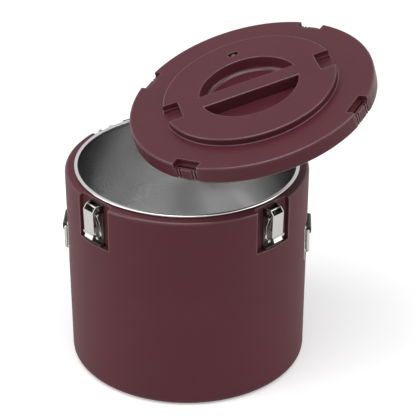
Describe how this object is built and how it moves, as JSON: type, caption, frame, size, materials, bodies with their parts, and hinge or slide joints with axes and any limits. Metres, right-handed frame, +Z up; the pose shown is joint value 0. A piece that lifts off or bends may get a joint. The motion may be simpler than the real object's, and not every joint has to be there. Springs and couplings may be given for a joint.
{
  "type": "insulated soup carrier",
  "caption": "Round insulated soup carrier: steel-lined moulded drum, foam-filled lift-off lid with finger pockets, toggle latches at the rim and hinged side bails.",
  "frame": {"origin": "on the floor on the drum's axis, in the middle of the pad under the drum", "axes": "+Z up along the drum's axis, -Y to the front between the front latches, +X to the right-hand bail"},
  "size_m": [0.5085, 0.4199, 0.5406],
  "materials": {
    "maroon_plastic": "satin",
    "liner_steel": "satin",
    "bright_steel": "polished",
    "foam": "matte",
    "silicone": "matte",
    "black_plastic": "satin"
  },
  "bodies": {
    "carrier": {"outer_shell": "maroon_plastic", "wall_foam": "foam", "steel_liner": "liner_steel", "latch_plate_front_left": "bright_steel", "latch_plate_front_right": "bright_steel", "latch_plate_back_left": "bright_steel", "latch_plate_back_right": "bright_steel", "lever_pins": "bright_steel", "latch_rivets": "bright_steel", "handle_plate_left": "bright_steel", "handle_plate_right": "bright_steel", "handle_block_left": "black_plastic", "handle_block_right": "black_plastic", "handle_rivets": "bright_steel"},
    "vent_ball": {"vent_ball": "silicone"},
    "lid": {"lid_top": "maroon_plastic", "lid_pan": "maroon_plastic", "lid_foam": "foam", "lid_gasket": "silicone"},
    "lever_front_left": {"lever_front_left": "bright_steel"},
    "claw_front_left": {"claw_front_left": "bright_steel", "claw_pin_front_left": "bright_steel"},
    "lever_front_right": {"lever_front_right": "bright_steel"},
    "claw_front_right": {"claw_front_right": "bright_steel", "claw_pin_front_right": "bright_steel"},
    "lever_back_left": {"lever_back_left": "bright_steel"},
    "claw_back_left": {"claw_back_left": "bright_steel", "claw_pin_back_left": "bright_steel"},
    "lever_back_right": {"lever_back_right": "bright_steel"},
    "claw_back_right": {"claw_back_right": "bright_steel", "claw_pin_back_right": "bright_steel"},
    "bail_left": {"bail_left": "bright_steel"},
    "bail_right": {"bail_right": "bright_steel"}
  },
  "joints": [
    {"name": "lid_lift", "type": "slide", "parent": "carrier", "child": "vent_ball", "axis": [0.5032, -0.1885, 0.8433], "range_m": [-0.14585, 0]},
    {"name": "lid_tilt", "type": "hinge", "parent": "vent_ball", "child": "lid", "pos_m": [0.0734, 0.0775, 0.501], "axis": [0.2982, -0.68, 0.6698], "range_deg": [-21.7, 0]},
    {"name": "lever_front_left_swing", "type": "hinge", "parent": "carrier", "child": "lever_front_left", "pos_m": [-0.14181, -0.13457, 0.334], "axis": [-0.6884, 0.7254, 0], "range_deg": [0, 120]},
    {"name": "claw_front_left_swing", "type": "hinge", "parent": "lever_front_left", "child": "claw_front_left", "pos_m": [-0.14471, -0.13733, 0.324], "axis": [0.6884, -0.7254, 0], "range_deg": [-188, 0]},
    {"name": "lever_front_right_swing", "type": "hinge", "parent": "carrier", "child": "lever_front_right", "pos_m": [0.14181, -0.13457, 0.334], "axis": [-0.6884, -0.7254, 0], "range_deg": [0, 120]},
    {"name": "claw_front_right_swing", "type": "hinge", "parent": "lever_front_right", "child": "claw_front_right", "pos_m": [0.14471, -0.13733, 0.324], "axis": [0.6884, 0.7254, 0], "range_deg": [-188, 0]},
    {"name": "lever_back_left_swing", "type": "hinge", "parent": "carrier", "child": "lever_back_left", "pos_m": [-0.14181, 0.13457, 0.334], "axis": [0.6884, 0.7254, 0], "range_deg": [0, 120]},
    {"name": "claw_back_left_swing", "type": "hinge", "parent": "lever_back_left", "child": "claw_back_left", "pos_m": [-0.14471, 0.13733, 0.324], "axis": [-0.6884, -0.7254, 0], "range_deg": [-188, 0]},
    {"name": "lever_back_right_swing", "type": "hinge", "parent": "carrier", "child": "lever_back_right", "pos_m": [0.14181, 0.13457, 0.334], "axis": [0.6884, -0.7254, 0], "range_deg": [0, 120]},
    {"name": "claw_back_right_swing", "type": "hinge", "parent": "lever_back_right", "child": "claw_back_right", "pos_m": [0.14471, 0.13733, 0.324], "axis": [-0.6884, 0.7254, 0], "range_deg": [-188, 0]},
    {"name": "bail_left_swing", "type": "hinge", "parent": "carrier", "child": "bail_left", "pos_m": [-0.1995, 0, 0.236], "axis": [0, 1, 0], "range_deg": [0, 95]},
    {"name": "bail_right_swing", "type": "hinge", "parent": "carrier", "child": "bail_right", "pos_m": [0.1995, 0, 0.236], "axis": [0, -1, 0], "range_deg": [0, 95]}
  ],
  "couplings": [
    {"joint": "lid_tilt", "follows": "lid_lift", "rad_per_m": 2.5967}
  ]
}
